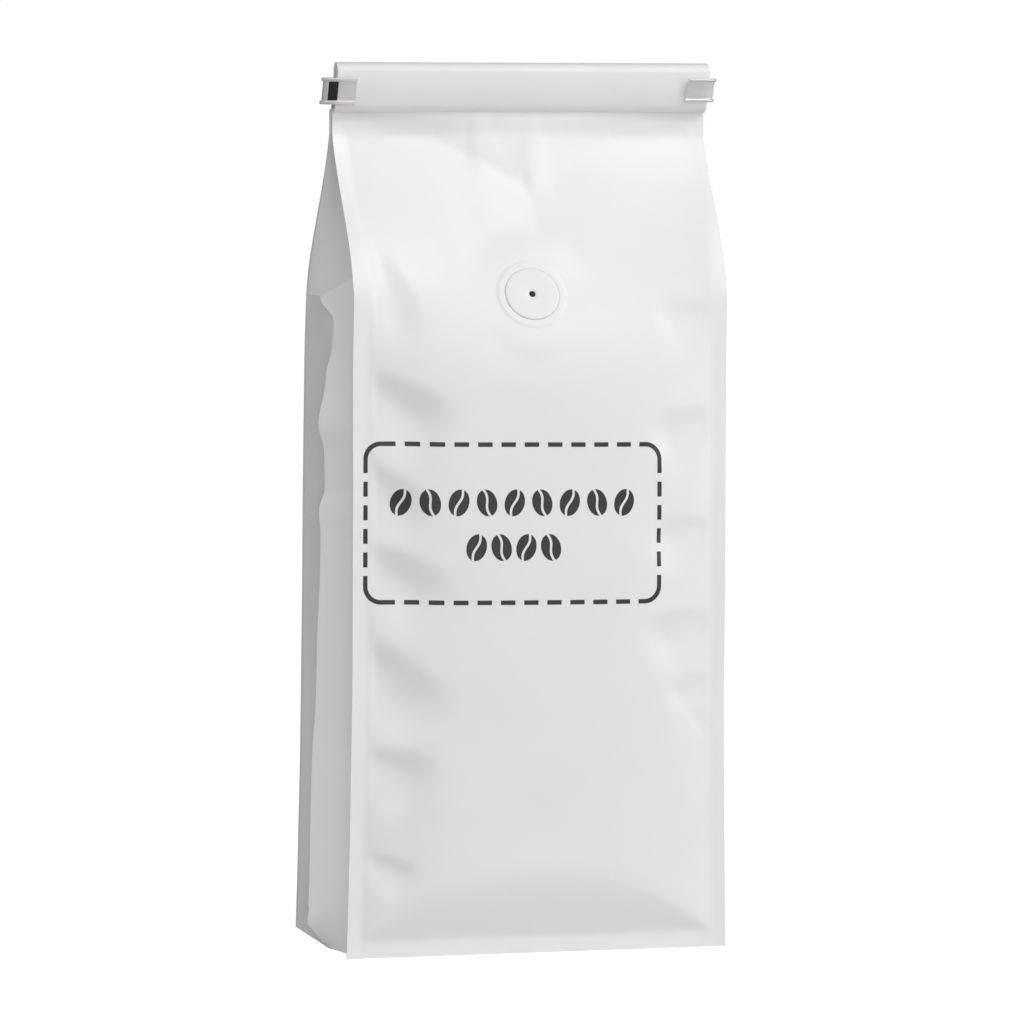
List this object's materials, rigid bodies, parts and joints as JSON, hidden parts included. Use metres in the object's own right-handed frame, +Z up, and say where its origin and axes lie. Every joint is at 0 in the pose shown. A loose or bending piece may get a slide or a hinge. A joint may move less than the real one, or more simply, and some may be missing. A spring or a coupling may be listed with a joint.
{
  "type": "coffee bag",
  "caption": "Shut and filled side gusset coffee bag with corner seals, box bottom, one-way valve and a rolled top held by a tin tie.",
  "frame": {"origin": "centre of the base, on the surface that the bag stands on", "axes": "+Z up along the bag's height, +X along its width to the right of a person facing the front, -Y towards the front panel with the valve"},
  "size_m": [0.147, 0.0856, 0.306],
  "materials": {
    "laminate": "matte white laminated film with a soft sheen, a printed dashed frame and two rows of plain coffee beans in dark grey on the front",
    "tin_plate": "pale grey coated strip with a bright wire along each edge",
    "valve_plastic": "smooth off-white moulded plastic under clear film, with a dark breathing hole"
  },
  "bodies": {
    "root": {"bag": "laminate", "tin_tie": "tin_plate", "valve": "valve_plastic"}
  },
  "joints": []
}
